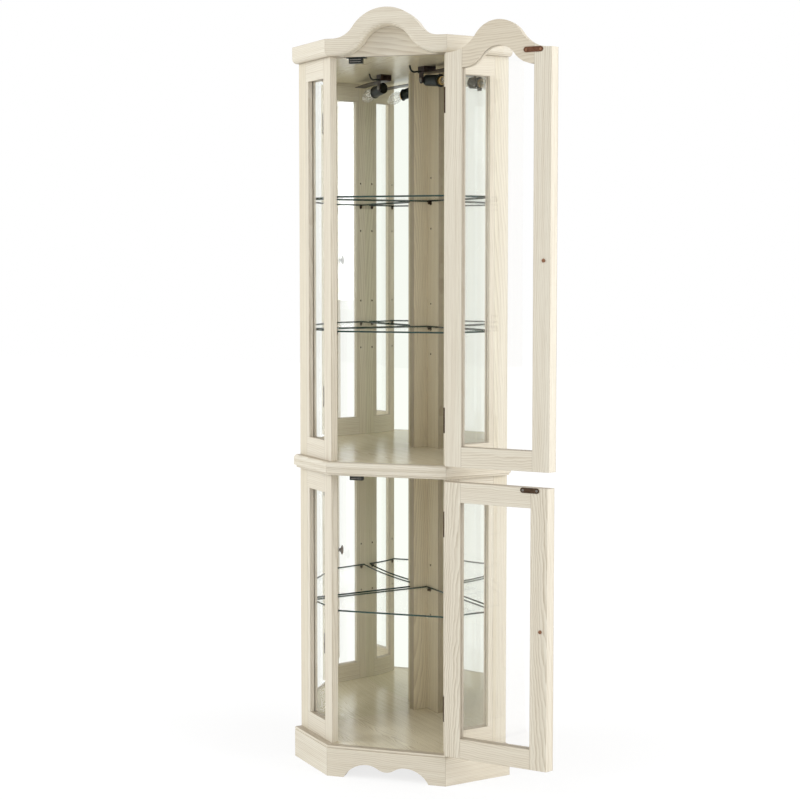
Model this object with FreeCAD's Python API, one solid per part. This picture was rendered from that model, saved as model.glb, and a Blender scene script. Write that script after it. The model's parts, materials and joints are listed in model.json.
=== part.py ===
"""Corner curio cabinet: two glazed doors, mirrored back, three glass shelves, one lamp.

Millimetres, +Z up.  The origin is the cabinet's outer back corner at floor level: the
two back walls run from it to the right and left at 45 degrees, and the front faces -Y.
Both doors stand open, turned back on their hinges.
"""
import FreeCAD
import Part
import math
import os

V = FreeCAD.Vector
ROOT2 = math.sqrt(2.0)
MITRE = math.tan(math.radians(22.5))      # side step of a mitre per unit of thickness

# ---- plan of the carcass -------------------------------------------------------------
FRONT_HALF = 139.0        # half the front's width, corner to corner
RETURN_LENGTH = 171.0     # length of each glazed side, running back at 45 degrees
FRAME_T = 20.0            # thickness of the doors and side frames
BACK_T = 16.0             # thickness of the back stiles
OVERHANG = 18.0           # how far plinth, waist and crown stand out from the carcass

# ---- heights -------------------------------------------------------------------------
PLINTH_H = 74.0
LOWER_H = 649.5           # plinth top to waist
WAIST_H = 31.5
UPPER_H = 951.0           # waist to crown
CROWN_H = 39.0            # crown's height at the shoulders
BOARD_T = 16.0            # floors and ceiling

# ---- side frames ---------------------------------------------------------------------
SIDE_STILE = 38.0         # front stile, on its outer face
SIDE_RAIL = 47.0
INNER_STILE = 13.0        # narrow stile beside the rear post
POST_W = 37.5
GLASS_T = 3.0
GLASS_SETBACK = 11.0      # outer face of the frame to the glass
GLASS_BITE = 6.0          # how far a pane reaches into its groove
FIT = 0.25                # clearance round a pane in its groove

# ---- back ----------------------------------------------------------------------------
CORNER_STILE = 56.0       # the left one runs into the corner, the right one butts it
BACKING_T = 5.0
MIRROR_T = 3.0
MIRROR_BITE = 8.0         # how far a mirror reaches behind a stile

# ---- doors ---------------------------------------------------------------------------
DOOR_GAP = 2.5            # gap between a door and its stile
DOOR_CLEAR = 2.0          # gap above and below a door
DOOR_STILE = 41.0         # on the inner face
DOOR_RAIL = 46.5
DOOR_SHOULDER = 35.0      # top rail of the upper door at its ends
UPPER_OPEN = 170.0        # how far each door stands open
LOWER_OPEN = 168.5

# ---- arches: rise, how far the ends stop short, and radius of the crown arc ----------
DOOR_ARCH_RISE = 67.0
DOOR_ARCH_END = 15.0      # arch's end to the front corner
DOOR_ARCH_R = 66.0
CROWN_ARCH_RISE = 68.0
CROWN_ARCH_END = 11.0
CROWN_ARCH_R = 97.0
SIGHT_ARCH_RISE = 45.0
SIGHT_ARCH_END = 0.2      # arch's end to the door's stile
SIGHT_ARCH_R = 49.0
ARCH_GAP = 4.0            # upper door's top to the crown
EDGE_R = 12.0             # rounded lower edge of the crown's face
HEADER_T = 12.0
HEADER_RISE = 22.0        # header board above the edge of the arch

# ---- plinth --------------------------------------------------------------------------
BEAD_R = 3.0
REBATE = 6.0              # depth of the rebate that the floor sits in
SCALLOP_END = 105.0       # half span of the cut-out
SCALLOP_PEAK = 47.0       # middle of each arch
SCALLOP_RISE = 34.0
SCALLOP_R = 50.0          # inner side of each arch
SCALLOP_DROP = 20.0       # height of the rounded drop between the arches

# ---- waist ---------------------------------------------------------------------------
WAIST_NOSE = 9.0          # radius of the nosing
WAIST_COVE = 5.0
WAIST_LIP = 1.5           # flat under the cove
WAIST_STEP = 2.0          # face in front of the cove
WAIST_GROOVES = (14.5, 18.5)      # undersides of the two fine grooves
GROOVE = 1.0

# ---- shelves -------------------------------------------------------------------------
SHELF_T = 4.0
SHELF_CLEAR = 2.5         # glass edge to the walls
SHELF_FRONT = 4.0         # shelf edge behind the doors
LOWER_SHELF = 320.0       # top of the shelf above its floor
UPPER_SHELVES = (310.0, 628.0)
HOLE_PITCH = 64.0
FRONT_HOLES = 24.0        # side frame's front edge to its row of holes
REAR_HOLES = 22.0         # mirror to the row in the rear post
CORNER_HOLES = 17.0       # inner corner to the row in the right corner stile
PIN_R = 2.5
PIN_HOLE_R = 2.6
PIN_DEPTH = 8.0
PADDLE = (9.0, 8.0, 1.6)  # reach, width and thickness of a shelf support
FLANGE = (4.5, 1.5)       # its round flange at the wall: radius and thickness

# ---- hinges --------------------------------------------------------------------------
HINGE_H = 57.0
HINGE_END = 104.0         # door's end to the hinge's middle
KNUCKLE_R = 3.2
HINGE_PIN_R = 1.4
HINGE_PIN_BORE = 1.45
LEAF_T = 1.2
LEAF_W = 16.0
KNUCKLE_OUT = 4.0         # knuckle's axis outside the corner
KNUCKLE_SLIT = 0.3        # gap between two knuckles

# ---- knobs, catches and strikes ------------------------------------------------------
KNOB_R = 14.0
KNOB_REACH = 24.0
KNOB_FLAT = 3.0           # radius of the small flat at its end
# its outline: radius as a part of KNOB_R, distance from the door as a part of KNOB_REACH
KNOB_FOOT, KNOB_NECK, KNOB_SWELL, KNOB_RIM, KNOB_CHEEK = (
    (0.5, 0.0), (0.36, 0.35), (0.75, 0.55), (1.0, 0.75), (0.75, 0.94))
UPPER_KNOB = 474.0        # above the door's bottom
LOWER_KNOB = 319.5
SCREW_R = 2.0
SCREW_HEAD_R = 4.2
SCREW_HEAD_H = 1.6
CATCH_X = -85.0
CATCH = (32.0, 14.0, 12.4)        # width, depth and height of the magnet housing
CATCH_FLANGE = (46.0, 18.0, 2.2)
STRIKE = (46.0, 12.0, 1.2)        # length, height and thickness of the strike plate
POLE_L = 27.0             # steel strips that stand out of the housing
POLE_T = 1.6
POLE_OUT = 1.0
CATCH_PLAY = 0.4          # catch to strike with the door shut

# ---- lamp ----------------------------------------------------------------------------
LAMP_X, LAMP_Y = 26.6, -129.0     # pivot of the socket, seen from above
LAMP_DROP = 33.0          # pivot below the ceiling
LAMP_HEADING = -41.0      # lamp's direction in plan, from +X
LAMP_TILT = 6.0           # socket's nose below level
LAMP_BASE = (28.0, 34.2, 16.0)    # spacer on the ceiling: along, across, height
SHIELD = (185.0, 40.0, 1.2)       # heat shield over the bulb, ahead of the pivot
BRACKET_T = 1.6
LUG_W = 18.0
PIVOT_HEAD_R = 6.0
PIVOT_PLAY = 0.05
SOCKET_R = 14.0
SOCKET_L = 58.0
SOCKET_AHEAD = 3.0       # pivot to the socket's rear face
TONGUE_T = 4.0            # socket's flat ear on the pivot
EAR_OUT = 1.2             # ear outside the socket's side
EAR_PLAY = 0.3            # ear to lug
BULB_R = 17.0
BULB_L = 87.0
BULB_NECK_R = 9.0
BULB_TIP_R = 1.0          # small flat at the point
CAP_R = 10.5
CAP_L = 28.0
CAP_SHOWN = 8.0           # cap outside the socket
LEAD_R = 2.2

# ---- derived levels and corners ------------------------------------------------------
FLOOR_Z = PLINTH_H
WAIST_Z = FLOOR_Z + LOWER_H
DECK_Z = WAIST_Z + WAIST_H
CROWN_Z = DECK_Z + UPPER_H
TOP_Z = CROWN_Z + CROWN_H
REAR_HALF = FRONT_HALF + RETURN_LENGTH / ROOT2
FRONT_Y = -(REAR_HALF + RETURN_LENGTH / ROOT2)
WALL_LENGTH = REAR_HALF * ROOT2
FRONT_CORNER = V(FRONT_HALF, FRONT_Y, 0)
REAR_CORNER = V(REAR_HALF, -REAR_HALF, 0)
MIRROR_FACE = BACKING_T + MIRROR_T
DOOR_HALF = FRONT_HALF - FRAME_T * MITRE - DOOR_GAP      # on the door's inner face
DOOR_ARCH = (DOOR_ARCH_RISE, FRONT_HALF - DOOR_ARCH_END, DOOR_ARCH_R)
CROWN_ARCH = (CROWN_ARCH_RISE, FRONT_HALF - CROWN_ARCH_END, CROWN_ARCH_R)
SIGHT_ARCH = (SIGHT_ARCH_RISE, DOOR_HALF - DOOR_STILE - SIGHT_ARCH_END, SIGHT_ARCH_R)
PIN_AXIS = FRONT_CORNER + V(
    -0.5 * DOOR_GAP * math.cos(math.radians(22.5)) ** 2 + KNUCKLE_OUT * math.sin(math.radians(22.5)),
    -0.5 * DOOR_GAP * math.cos(math.radians(22.5)) * math.sin(math.radians(22.5))
    - KNUCKLE_OUT * math.cos(math.radians(22.5)), 0)


# ---- building helpers ----------------------------------------------------------------
def box(x0, x1, y0, y1, z0, z1):
    """Block between two corners."""
    return Part.makeBox(x1 - x0, y1 - y0, z1 - z0, V(x0, y0, z0))


def prism(points, z0, z1):
    """Upright prism over a plan polygon."""
    loop = [V(x, y, z0) for x, y in points]
    return Part.Face(Part.makePolygon(loop + loop[:1])).extrude(V(0, 0, z1 - z0))


def rod(radius, length, start, along):
    return Part.makeCylinder(radius, length, start, along)


def mirrored(shape):
    """The same piece on the cabinet's other side."""
    return shape.mirror(V(0, 0, 0), V(1, 0, 0))


def both(shape):
    return [shape, mirrored(shape)]


def turned(shape, angle, centre=V(0, 0, 0)):
    out = shape.copy()
    out.rotate(centre, V(0, 0, 1), angle)
    return out


def on_return(shape):
    """From (along the side, into the cabinet, up) to the right side's place."""
    out = turned(shape, 45.0)
    out.translate(FRONT_CORNER)
    return out


def on_back(shape):
    """From (rear corner to back corner, into the cabinet, up) to the right back wall."""
    out = turned(shape, 135.0)
    out.translate(REAR_CORNER)
    return out


def plan(front=0.0, side=0.0, back=0.0):
    """Five-sided plan, each face moved out (front, side) or in (back) from the carcass."""
    reach = FRONT_HALF - FRONT_Y + side * ROOT2
    front_y = FRONT_Y - front
    rear_x = (reach - back * ROOT2) / 2.0
    right = [(reach + front_y, front_y), (rear_x, rear_x - reach)]
    left = [(-x, y) for x, y in reversed(right)]
    return right + [(0.0, -back * ROOT2)] + left


def save(name, solids):
    """One STEP for one named piece, or for a set of like ones."""
    solids = solids if isinstance(solids, list) else [solids]
    loose = [s for item in solids for s in item.Solids]
    shape = loose[0] if len(loose) == 1 else Part.makeCompound(loose)
    shape.exportStep("parts/%s.step" % name)
    print("%-22s %2d solid(s) %10.0f mm3" % (name, len(loose), shape.Volume))


# ---- arches --------------------------------------------------------------------------
def arch_edges(arch, base, half, y):
    """Reverse-curve arch from (-half, base) over its crown to (half, base), at depth y."""
    rise, span, crown_r = arch
    foot_r = (span ** 2 + rise ** 2) / (2.0 * rise) - crown_r
    turn = 2.0 * math.atan(rise / span)
    peak = base + rise

    def on_crown(a):
        return V(crown_r * math.sin(a), y, peak - crown_r * (1.0 - math.cos(a)))

    def on_foot(a, side):
        return V(side * (span - foot_r * math.sin(a)), y, base + foot_r * (1.0 - math.cos(a)))

    edges = [
        Part.Arc(on_foot(0, -1), on_foot(turn / 2, -1), on_foot(turn, -1)).toShape(),
        Part.Arc(on_crown(-turn), on_crown(0), on_crown(turn)).toShape(),
        Part.Arc(on_foot(turn, 1), on_foot(turn / 2, 1), on_foot(0, 1)).toShape(),
    ]
    if half > span:
        edges.insert(0, Part.makeLine(V(-half, y, base), on_foot(0, -1)))
        edges.append(Part.makeLine(on_foot(0, 1), V(half, y, base)))
    return edges


def arched(arch, base, half, bottom, y0, y1):
    """Board with a flat bottom and an arched top."""
    ends = [Part.makeLine(V(half, y0, base), V(half, y0, bottom)),
            Part.makeLine(V(half, y0, bottom), V(-half, y0, bottom)),
            Part.makeLine(V(-half, y0, bottom), V(-half, y0, base))]
    wire = Part.Wire(arch_edges(arch, base, half, y0) + ends)
    return Part.Face(wire).extrude(V(0, y1 - y0, 0))


# ---- mouldings -----------------------------------------------------------------------
def profile_face(points, arcs):
    """Face in the (out, up) plane; arcs maps a corner's index to a mid point."""
    edges = []
    for i, start in enumerate(points):
        end = points[(i + 1) % len(points)]
        a, b = V(0, -start[0], start[1]), V(0, -end[0], end[1])
        if i in arcs:
            mid = arcs[i]
            edges.append(Part.Arc(a, V(0, -mid[0], mid[1]), b).toShape())
        else:
            edges.append(Part.makeLine(a, b))
    return Part.Face(Part.Wire(edges))


def run(face, x0, x1):
    """Moulding along X, with the carcass's face on y = 0."""
    bar = face.extrude(V(x1 - x0, 0, 0))
    bar.translate(V(x0, 0, 0))
    return bar


def front_sector(z0, z1):
    """Everything in front of the two mitres at the front corners."""
    depth = FRAME_T + 2 * OVERHANG
    near = [(FRONT_HALF + depth * MITRE, FRONT_Y - depth),
            (FRONT_HALF - depth * MITRE, FRONT_Y + depth)]
    return prism(near + [(-x, y) for x, y in reversed(near)], z0, z1)


def front_piece(face, z0, z1):
    bar = run(face, -REAR_HALF, REAR_HALF)
    bar.translate(V(0, FRONT_Y, 0))
    return bar.common(front_sector(z0, z1))


def right_piece(face, z0, z1):
    """The same moulding on the right side, mitred in front and cut at the wall behind."""
    bar = turned(run(face, -OVERHANG, RETURN_LENGTH + OVERHANG), 45.0)
    bar.translate(FRONT_CORNER)
    bar = bar.cut(front_sector(z0, z1))
    room = prism([(0, 0), (2 * REAR_HALF, -2 * REAR_HALF), (0, 2 * FRONT_Y)], z0, z1)
    return bar.common(room)


def plinth_profile():
    top, bead = PLINTH_H, PLINTH_H - 2 * BEAD_R
    out = OVERHANG - BEAD_R
    seat = PLINTH_H - BOARD_T
    points = [(-REBATE, 0), (OVERHANG, 0), (OVERHANG, bead - 1.0), (out, bead), (out, top),
              (0, top), (0, seat), (-REBATE, seat)]
    return profile_face(points, {3: (out + BEAD_R, bead + BEAD_R)})


def waist_profile():
    """Rounded nosing over two fine grooves and a cove."""
    z0, z1 = WAIST_Z, DECK_Z
    bend = WAIST_NOSE * (1.0 - math.sqrt(0.5))
    hollow = WAIST_COVE * math.sqrt(0.5)
    step = OVERHANG - WAIST_STEP
    foot, low, high = step - WAIST_COVE, z0 + WAIST_LIP, z0 + WAIST_LIP + WAIST_COVE
    points = [(0, z0), (foot, z0), (foot, low), (step, high), (OVERHANG, high)]
    for up in WAIST_GROOVES:
        z = z0 + up
        points += [(OVERHANG, z), (OVERHANG - GROOVE, z), (OVERHANG - GROOVE, z + GROOVE),
                   (OVERHANG, z + GROOVE)]
    points += [(OVERHANG, z1 - WAIST_NOSE), (OVERHANG - WAIST_NOSE, z1), (0, z1)]
    arcs = {2: (step - hollow, low + hollow), len(points) - 3: (OVERHANG - bend, z1 - bend)}
    return profile_face(points, arcs)


def crown_profile():
    """Flat face with a rounded lower edge."""
    z0, z1 = CROWN_Z, TOP_Z
    bend = EDGE_R * (1.0 - math.sqrt(0.5))
    points = [(0, z0), (OVERHANG - EDGE_R, z0), (OVERHANG, z0 + EDGE_R), (OVERHANG, z1), (0, z1)]
    return profile_face(points, {1: (OVERHANG - bend, z0 + bend)})


# ---- plinth, floors and ceiling ------------------------------------------------------
def scallop_cutter():
    """Two arches with a rounded drop between them, through the front plinth."""
    sway = SCALLOP_RISE - SCALLOP_DROP
    drop_r = (SCALLOP_PEAK ** 2 + sway ** 2) / (2.0 * sway) - SCALLOP_R
    turn = 2.0 * math.atan(sway / SCALLOP_PEAK)
    reach = SCALLOP_END - SCALLOP_PEAK
    outer_r = (reach ** 2 + SCALLOP_RISE ** 2) / (2.0 * SCALLOP_RISE)
    outer = 2.0 * math.atan(SCALLOP_RISE / reach)

    def on_drop(a):
        return V(drop_r * math.sin(a), 0, SCALLOP_DROP + drop_r * (1.0 - math.cos(a)))

    def on_arch(radius, a):
        return V(SCALLOP_PEAK + radius * math.sin(a), 0, SCALLOP_RISE - radius * (1.0 - math.cos(a)))

    peak, end, low = on_arch(SCALLOP_R, 0), V(SCALLOP_END, 0, 0), V(0, 0, -1)
    edges = [Part.Arc(on_drop(0), on_drop(turn / 2), on_drop(turn)).toShape(),
             Part.Arc(on_drop(turn), on_arch(SCALLOP_R, -turn / 2), peak).toShape(),
             Part.Arc(peak, on_arch(outer_r, outer / 2), end).toShape(),
             Part.makeLine(end, end + low), Part.makeLine(end + low, low),
             Part.makeLine(low, on_drop(0))]
    half = Part.Face(Part.Wire(edges)).extrude(V(0, 3 * OVERHANG, 0))
    half.translate(V(0, FRONT_Y - 2 * OVERHANG, 0))
    return half.fuse(mirrored(half))


def make_plinth():
    face = plinth_profile()
    front = front_piece(face, -1.0, PLINTH_H + 1.0).cut(scallop_cutter())
    right = right_piece(face, -1.0, PLINTH_H + 1.0)
    save("plinth_front", front)
    save("plinth_right", right)
    save("plinth_left", mirrored(right))


def make_waist():
    face = waist_profile()
    right = right_piece(face, WAIST_Z - 1.0, DECK_Z + 1.0)
    save("waist_front", front_piece(face, WAIST_Z - 1.0, DECK_Z + 1.0))
    save("waist_right", right)
    save("waist_left", mirrored(right))


def make_boards():
    """Floor of the lower part, its top, and the upper part's floor and ceiling."""
    under = FLOOR_Z - BOARD_T
    right = on_back(box(REBATE, WALL_LENGTH - BACK_T, 0, BACK_T, 0, under))
    left = mirrored(on_back(box(REBATE, WALL_LENGTH, 0, BACK_T, 0, under)))
    save("rear_base_boards", [right, left])
    save("lower_floor", prism(plan(), under, FLOOR_Z))
    seam = WAIST_Z + 0.5 * WAIST_H
    save("lower_top", prism(plan(), WAIST_Z, seam))
    save("upper_floor", prism(plan(), seam, DECK_Z))
    room = box(-FRONT_HALF, FRONT_HALF, FRONT_Y - 1, header_back(), CROWN_Z - 1, TOP_Z)
    save("ceiling", prism(plan(), CROWN_Z, CROWN_Z + BOARD_T).cut(room).cut(lead_hole()))


# ---- crown ---------------------------------------------------------------------------
def header_front():
    return FRONT_Y + FRAME_T + 1.5


def header_back():
    return header_front() + HEADER_T


def edge_cutter(x, y_face):
    """Outline, at x, of what comes off the arch's lower front edge to round it."""
    z0, over = CROWN_Z, 1.0
    bend = EDGE_R * (1.0 - math.sqrt(0.5))
    high, deep = V(x, y_face, z0 + EDGE_R), V(x, y_face + EDGE_R, z0)
    corners = [deep, V(x, y_face + EDGE_R, z0 - over), V(x, y_face - over, z0 - over),
               V(x, y_face - over, z0 + EDGE_R), high]
    lines = [Part.makeLine(a, b) for a, b in zip(corners, corners[1:])]
    return Part.Wire(lines + [Part.Arc(high, V(x, y_face + bend, z0 + bend), deep).toShape()])


def make_crown():
    """Arched pediment in two layers, the header board behind it, and the side crowns."""
    y_face, y_back = FRONT_Y - OVERHANG, FRONT_Y + FRAME_T
    wide = FRONT_HALF + 2 * OVERHANG
    low = CROWN_Z - 1.0
    sector = front_sector(low, TOP_Z + 2 * CROWN_ARCH[0])

    def layer(half, y0, y1):
        whole = arched(CROWN_ARCH, TOP_Z, half, low, y0, y1)
        below = arched(DOOR_ARCH, CROWN_Z, half + 1.0, low - 1.0, y0 - 1.0, y1 + 1.0)
        return whole.cut(below)

    front = layer(wide, y_face, FRONT_Y).common(sector)
    path = Part.Wire(arch_edges(DOOR_ARCH, CROWN_Z, wide + 1.0, y_face))
    front = front.cut(path.makePipeShell([edge_cutter(-wide - 1.0, y_face)], True, False))
    save("pediment", front)
    save("pediment_backer", layer(FRONT_HALF, FRONT_Y, y_back))

    y0, y1 = header_front(), header_back()
    header = arched(DOOR_ARCH, CROWN_Z + HEADER_RISE, FRONT_HALF, CROWN_Z, y0, y1)
    save("header_board", header)

    right = right_piece(crown_profile(), CROWN_Z - 1.0, TOP_Z + 1.0)
    save("crown_right", right)
    save("crown_left", mirrored(right))


# ---- glazed sides --------------------------------------------------------------------
def shelf_levels(z0):
    """Undersides of the shelves over the floor at z0."""
    heights = (LOWER_SHELF,) if z0 < WAIST_Z else UPPER_SHELVES
    return [z0 + h - SHELF_T for h in heights]


def pin_heights(z0):
    """Axes of the support holes: one at each shelf, one above it and one below."""
    return [z - PADDLE[2] - PIN_R + step * HOLE_PITCH for z in shelf_levels(z0) for step in (-1, 0, 1)]


def side_hole_rows():
    """Rows of holes in the side frame, measured along the side."""
    return (FRONT_HOLES, RETURN_LENGTH - MIRROR_FACE - REAR_HOLES)


def drilled(solid, rows, face, z0):
    """Blind holes from the inner face at y = face."""
    for x in rows:
        for z in pin_heights(z0):
            solid = solid.cut(rod(PIN_HOLE_R, PIN_DEPTH + 1.0, V(x, face + 1.0, z), V(0, -1, 0)))
    return solid


def pane_box(z0, z1, grow=0.0):
    """The side's pane, or the groove that takes it."""
    x0 = SIDE_STILE - GLASS_BITE
    x1 = RETURN_LENGTH - POST_W - INNER_STILE + GLASS_BITE
    return box(x0 - grow, x1 + grow, GLASS_SETBACK - grow, GLASS_SETBACK + GLASS_T + grow,
               z0 + SIDE_RAIL - GLASS_BITE - grow, z1 - SIDE_RAIL + GLASS_BITE + grow)


def side_frame(z0, z1):
    """Front stile with its mitred edge, two rails and the narrow inner stile."""
    post_x = RETURN_LENGTH - POST_W
    inner_x = post_x - INNER_STILE
    stile = prism([(0, 0), (SIDE_STILE, 0), (SIDE_STILE, FRAME_T), (FRAME_T * MITRE, FRAME_T)], z0, z1)
    stile = drilled(stile, side_hole_rows()[:1], FRAME_T, z0)
    bottom = box(SIDE_STILE, post_x, 0, FRAME_T, z0, z0 + SIDE_RAIL)
    top = box(SIDE_STILE, post_x, 0, FRAME_T, z1 - SIDE_RAIL, z1)
    inner = box(inner_x, post_x, 0, FRAME_T, z0 + SIDE_RAIL, z1 - SIDE_RAIL)
    groove = pane_box(z0, z1, FIT)
    return [piece.cut(groove) for piece in (stile, bottom, top, inner)]


def side_post(z0, z1):
    post = box(RETURN_LENGTH - POST_W, RETURN_LENGTH, 0, FRAME_T, z0, z1)
    return drilled(post, side_hole_rows()[1:], FRAME_T, z0)


# ---- mirrored back -------------------------------------------------------------------
def corner_holes_at():
    """Row of holes in the right corner stile, measured along the wall."""
    return WALL_LENGTH - BACK_T - CORNER_HOLES


def corner_stile(start, end, z0, z1):
    """Stile with a rebate at its outer side for the mirror and its backing."""
    body = box(start, end, 0, BACK_T, z0, z1)
    return body.cut(box(start - 1, start + MIRROR_BITE, -1, MIRROR_FACE, z0 - 1, z1 + 1))


def wall_panel(stile_at, z0, z1, y0, y1):
    """Mirror or backing board, from the rear post into the corner stile's rebate."""
    return on_back(box(FRAME_T + FIT, stile_at + MIRROR_BITE - FIT, y0, y1, z0, z1))


def make_walls(level, z0, z1):
    """Both sides and both back walls of one storey."""
    pockets = [leaf_pocket(z, 1) for z in hinge_levels() if z0 < z < z1]
    frame = [on_return(piece) for piece in side_frame(z0, z1)]
    save(level + "_left_frame", [mirrored(piece) for piece in frame])
    for pocket in pockets:
        frame[0] = frame[0].cut(pocket)
    save(level + "_right_frame", frame)
    save(level + "_posts", both(on_return(side_post(z0, z1))))
    save(level + "_side_glass", both(on_return(pane_box(z0, z1))))

    right_at, left_at = WALL_LENGTH - BACK_T - CORNER_STILE, WALL_LENGTH - CORNER_STILE
    right = corner_stile(right_at, WALL_LENGTH - BACK_T, z0, z1)
    right = on_back(drilled(right, (corner_holes_at(),), BACK_T, z0))
    left = mirrored(on_back(corner_stile(left_at, WALL_LENGTH, z0, z1)))
    save(level + "_back_stiles", [right, left])
    for name, y0, y1 in (("_mirrors", BACKING_T, MIRROR_FACE), ("_back_boards", 0, BACKING_T)):
        save(level + name, [wall_panel(right_at, z0, z1, y0, y1),
                            mirrored(wall_panel(left_at, z0, z1, y0, y1))])


# ---- shelves -------------------------------------------------------------------------
def support(face_point, inward, z):
    """Pin in its hole with the paddle that the glass lies on; z is the glass's underside."""
    reach, width, thick = PADDLE
    pin_z = z - thick - PIN_R
    pin = rod(PIN_R, PIN_DEPTH + reach - 1.0, V(-PIN_DEPTH, 0, pin_z), V(1, 0, 0))
    paddle = box(0, reach, -width / 2, width / 2, z - thick, z)
    web = box(0, reach - 1.0, -0.8, 0.8, pin_z, z)
    flange = rod(FLANGE[0], FLANGE[1], V(0, 0, pin_z), V(1, 0, 0))
    piece = pin.fuse(paddle).fuse(web).fuse(flange).removeSplitter()
    piece = turned(piece, math.degrees(math.atan2(inward.y, inward.x)))
    piece.translate(face_point)
    return piece


def supports(z0):
    """Five supports for each shelf: two at the front, two at the rear, one in the corner."""
    side_in, back_in = V(-1, 1, 0).normalize(), V(-1, -1, 0).normalize()
    along_side, along_back = V(1, 1, 0).normalize(), V(-1, 1, 0).normalize()
    front, rear = [FRONT_CORNER + along_side * row + side_in * FRAME_T for row in side_hole_rows()]
    corner = REAR_CORNER + along_back * corner_holes_at() + back_in * BACK_T
    pieces = []
    for z in shelf_levels(z0):
        pieces += both(support(front, side_in, z)) + both(support(rear, side_in, z))
        pieces.append(support(corner, back_in, z))
    return pieces


def make_shelves():
    edge = plan(-(FRAME_T + SHELF_FRONT), -(FRAME_T + SHELF_CLEAR), BACK_T + SHELF_CLEAR)
    names = ("lower_shelf", "middle_shelf", "upper_shelf")
    levels = shelf_levels(FLOOR_Z) + shelf_levels(DECK_Z)
    for name, z in zip(names, levels):
        save(name, prism(edge, z, z + SHELF_T))
    save("lower_shelf_pins", supports(FLOOR_Z))
    save("upper_shelf_pins", supports(DECK_Z))


# ---- doors ---------------------------------------------------------------------------
def door_blank(z0, z1):
    """Shut door as one slab: its long edges are bevelled to meet the mitred stiles."""
    outer = FRONT_HALF - DOOR_GAP
    inner = DOOR_HALF
    return prism([(outer, FRONT_Y), (inner, FRONT_Y + FRAME_T),
                  (-inner, FRONT_Y + FRAME_T), (-outer, FRONT_Y)], z0, z1)


def door_parts(z0, z1, arch_top):
    """Stiles, rails and pane of one shut door."""
    y0, y1 = FRONT_Y, FRONT_Y + FRAME_T
    sight = DOOR_HALF - DOOR_STILE
    peak = z1 + (DOOR_ARCH[0] if arch_top else 0.0)
    blank = door_blank(z0, peak)
    if arch_top:
        blank = blank.common(arched(DOOR_ARCH, z1, FRONT_HALF, z0, y0 - 1, y1 + 1))
        sight_z = z1 - DOOR_SHOULDER
        hole = arched(SIGHT_ARCH, sight_z, sight, z0 + DOOR_RAIL, y0 - 1, y1 + 1)
        pane_y = (y0 + GLASS_SETBACK, y0 + GLASS_SETBACK + GLASS_T)
        wide = sight + GLASS_BITE
        pane = arched(SIGHT_ARCH, sight_z + GLASS_BITE, wide, z0 + DOOR_RAIL - GLASS_BITE, *pane_y)
        groove = arched(SIGHT_ARCH, sight_z + GLASS_BITE + FIT, wide + FIT,
                        z0 + DOOR_RAIL - GLASS_BITE - FIT, pane_y[0] - FIT, pane_y[1] + FIT)
    else:
        hole = box(-sight, sight, y0 - 1, y1 + 1, z0 + DOOR_RAIL, z1 - DOOR_RAIL)

        def pane_at(grow):
            wide = sight + GLASS_BITE + grow
            return box(-wide, wide, y0 + GLASS_SETBACK - grow, y0 + GLASS_SETBACK + GLASS_T + grow,
                       z0 + DOOR_RAIL - GLASS_BITE - grow, z1 - DOOR_RAIL + GLASS_BITE + grow)
        pane, groove = pane_at(0.0), pane_at(FIT)
    frame = blank.cut(hole).cut(groove)

    def region(x0, x1, low, high):
        return frame.common(box(x0, x1, y0 - 1, y1 + 1, low, high))

    wide = FRONT_HALF + 1
    split = z0 + 2 * DOOR_RAIL
    return {"hinge_stile": region(sight, wide, z0, peak),
            "latch_stile": region(-wide, -sight, z0, peak),
            "bottom_rail": region(-sight, sight, z0, split),
            "top_rail": region(-sight, sight, split, peak),
            "door_glass": pane}


def knob(z):
    """Turned knob on the outer face, with the screw that holds it through the stile."""
    x = -(DOOR_HALF - 0.4 * DOOR_STILE)
    foot, neck, swell, rim, cheek = [
        V(r * KNOB_R, -d * KNOB_REACH, 0)
        for r, d in (KNOB_FOOT, KNOB_NECK, KNOB_SWELL, KNOB_RIM, KNOB_CHEEK)]
    root, tip, centre = V(0, 0, 0), V(KNOB_FLAT, -KNOB_REACH, 0), V(0, -KNOB_REACH, 0)
    edges = [Part.makeLine(root, foot), Part.Arc(foot, neck, swell).toShape(),
             Part.makeLine(swell, rim), Part.Arc(rim, cheek, tip).toShape(),
             Part.makeLine(tip, centre), Part.makeLine(centre, root)]
    grip = Part.Face(Part.Wire(edges)).revolve(V(0, 0, 0), V(0, 1, 0), 360)
    grip.translate(V(x, FRONT_Y, z))
    inner_face = FRONT_Y + FRAME_T
    shank = rod(SCREW_R, FRAME_T + 8.0, V(x, inner_face, z), V(0, -1, 0))
    head = rod(SCREW_HEAD_R, SCREW_HEAD_H, V(x, inner_face, z), V(0, 1, 0))
    screw = shank.fuse(head).removeSplitter()
    return [grip.cut(shank), screw], shank


def strike(z):
    """Steel plate with round ends and two screws, on the door's inner face."""
    length, height, thick = STRIKE
    face = FRONT_Y + FRAME_T
    half = (length - height) / 2.0
    plate = box(CATCH_X - half, CATCH_X + half, face, face + thick, z - height / 2, z + height / 2)
    for side in (-1, 1):
        plate = plate.fuse(rod(height / 2, thick, V(CATCH_X + side * half, face, z), V(0, 1, 0)))
    plate = plate.removeSplitter()
    screws, holes = [], []
    for side in (-1, 1):
        at = V(CATCH_X + side * half, face, z)
        shank, neck = rod(SCREW_R, 10.0, at, V(0, -1, 0)), rod(SCREW_R, thick, at, V(0, 1, 0))
        screws.append(shank.fuse(neck).removeSplitter())
        holes.append(shank)
        plate = plate.cut(neck)
    return [plate] + screws, holes


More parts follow.
